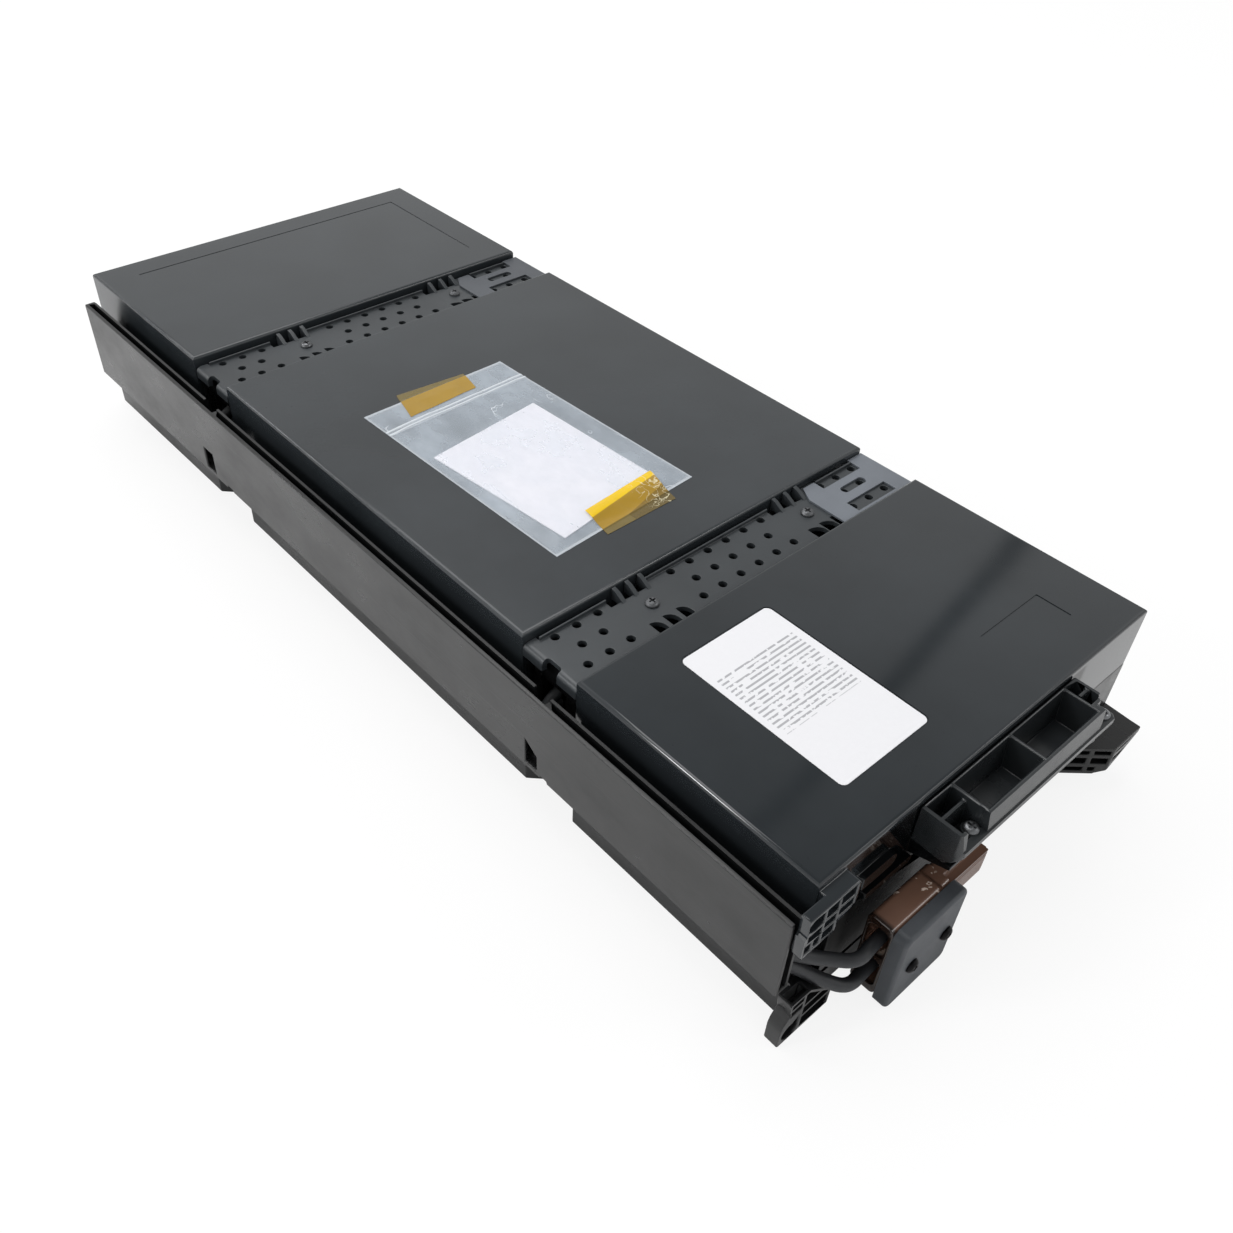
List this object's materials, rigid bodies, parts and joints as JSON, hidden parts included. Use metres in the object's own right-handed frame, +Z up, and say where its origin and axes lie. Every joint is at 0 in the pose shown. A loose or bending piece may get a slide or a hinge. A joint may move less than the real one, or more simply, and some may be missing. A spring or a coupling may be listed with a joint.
{
  "type": "ups battery cartridge",
  "caption": "Long flat battery cartridge: moulded tray with sealed blocks under lids, side wire raceway, front pull handle and plug on short leads.",
  "frame": {"origin": "middle of the cartridge's own bounding box in X and Y, on the surface it stands on; the leads and what hangs on them are left out", "axes": "+Z up, +Y from the handle to the rear, +X away from the raceway"},
  "size_m": [0.201, 0.5107, 0.0776],
  "materials": {
    "tray_plastic": "semi-gloss moulded, smudged",
    "lid_plastic": "semi-gloss",
    "strip_plastic": "satin moulded",
    "bracket_metal": "grey satin paint",
    "screw_metal": "zinc plated",
    "handle_plastic": "satin moulded",
    "battery_case": "satin",
    "terminal_metal": "tin plated",
    "strap_metal": "plated",
    "foam": "closed-cell foam",
    "cable_jacket": "matte",
    "connector_plastic": "semi-gloss",
    "contact_metal": "silver plated",
    "holder_plastic": "satin",
    "black_screw": "black oxide",
    "label_paper": "coated",
    "bag_film": "clear film",
    "leaflet_paper": "uncoated",
    "tape_film": "amber film"
  },
  "bodies": {
    "root": {"base_tray": "tray_plastic", "battery_block_1": "battery_case", "battery_block_2": "battery_case", "battery_block_3": "battery_case", "battery_block_4": "battery_case", "battery_block_5": "battery_case", "battery_block_6": "battery_case", "battery_block_7": "battery_case", "battery_block_8": "battery_case", "battery_terminals": "terminal_metal", "clear_bag": "bag_film", "connector_contacts": "contact_metal", "connector_holder": "holder_plastic", "connector_housing": "connector_plastic", "cover_front": "lid_plastic", "cover_middle": "lid_plastic", "cover_rear": "lid_plastic", "cover_screws": "screw_metal", "foam_pads": "foam", "handle": "handle_plastic", "handle_screws": "screw_metal", "holder_screws": "black_screw", "lead_lower": "cable_jacket", "lead_upper": "cable_jacket", "leaflet": "leaflet_paper", "link_straps": "strap_metal", "raceway_harness": "cable_jacket", "rating_label": "label_paper", "side_bracket_front": "bracket_metal", "side_bracket_rear": "bracket_metal", "tape_front": "tape_film", "tape_rear": "tape_film", "terminal_cover_front": "strip_plastic", "terminal_cover_rear": "strip_plastic"}
  },
  "joints": []
}
